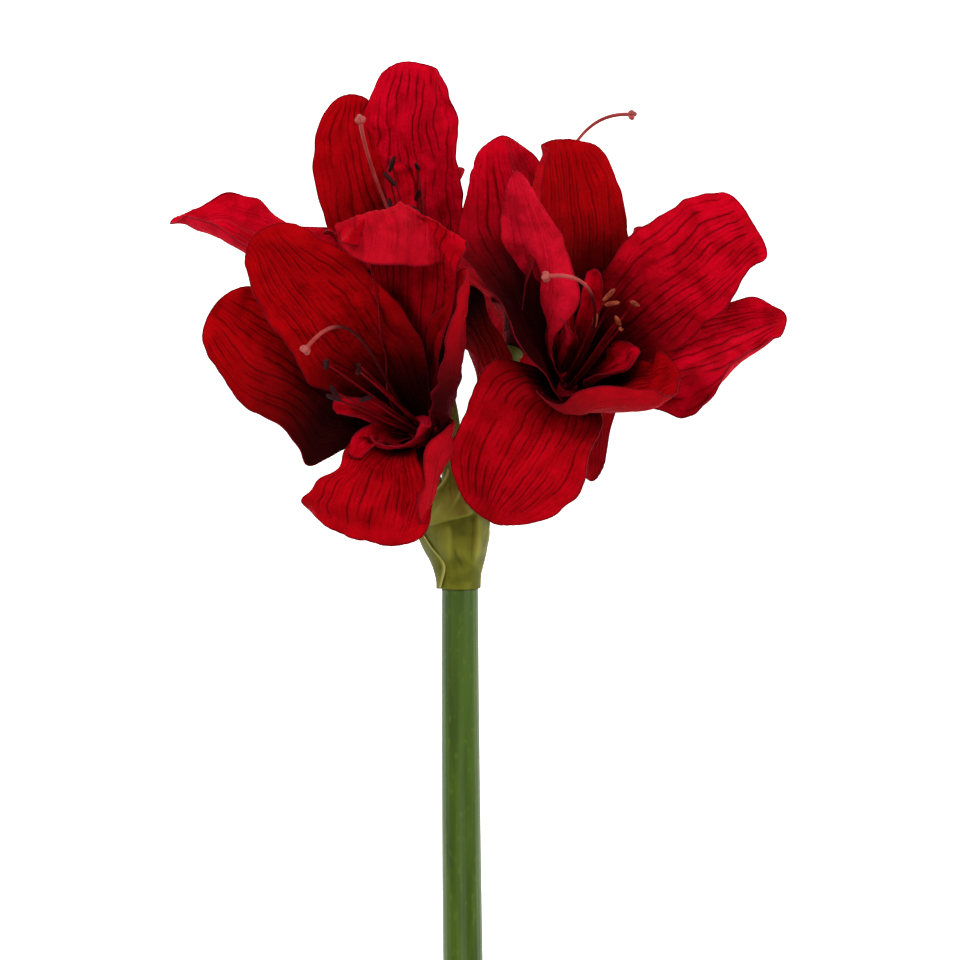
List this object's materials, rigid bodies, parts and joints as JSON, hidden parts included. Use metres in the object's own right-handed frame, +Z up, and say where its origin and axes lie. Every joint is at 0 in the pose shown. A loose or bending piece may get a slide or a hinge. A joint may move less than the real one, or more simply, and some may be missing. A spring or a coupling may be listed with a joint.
{
  "type": "amaryllis stem",
  "caption": "Cut amaryllis stem lying down: a long green scape with two papery bracts and a head of wide crimson blooms with ruffled, dark-veined petals, stamens and styles.",
  "frame": {"origin": "on the surface that the stem lies on, under the middle of its outline seen from above", "axes": "+Y along the stem towards the blooms, +Z up from the surface, +X to the right as one looks down on it"},
  "size_m": [0.2721, 0.6663, 0.1813],
  "materials": {
    "scape": "satin green stalk with a faint bloom and fine lengthwise fibres",
    "bract": "thin papery olive bract with soft creases",
    "petal": "velvety crimson petal with darker veins along it and a paler, pinkish back",
    "pedicel": "smooth yellow-green flower stalk",
    "stamen": "dark red filaments with orange-brown anthers",
    "style": "pinkish red style with a paler three-lobed tip"
  },
  "bodies": {
    "root": {"scape": "scape", "front_bract": "bract", "back_bract": "bract", "left_perianth": "petal", "left_pedicel": "pedicel", "left_stamens": "stamen", "left_style": "style", "right_perianth": "petal", "right_pedicel": "pedicel", "right_stamens": "stamen", "right_style": "style", "top_perianth": "petal", "top_pedicel": "pedicel", "top_stamens": "stamen", "top_style": "style", "back_perianth": "petal", "back_pedicel": "pedicel", "back_stamens": "stamen", "back_style": "style"}
  },
  "joints": []
}
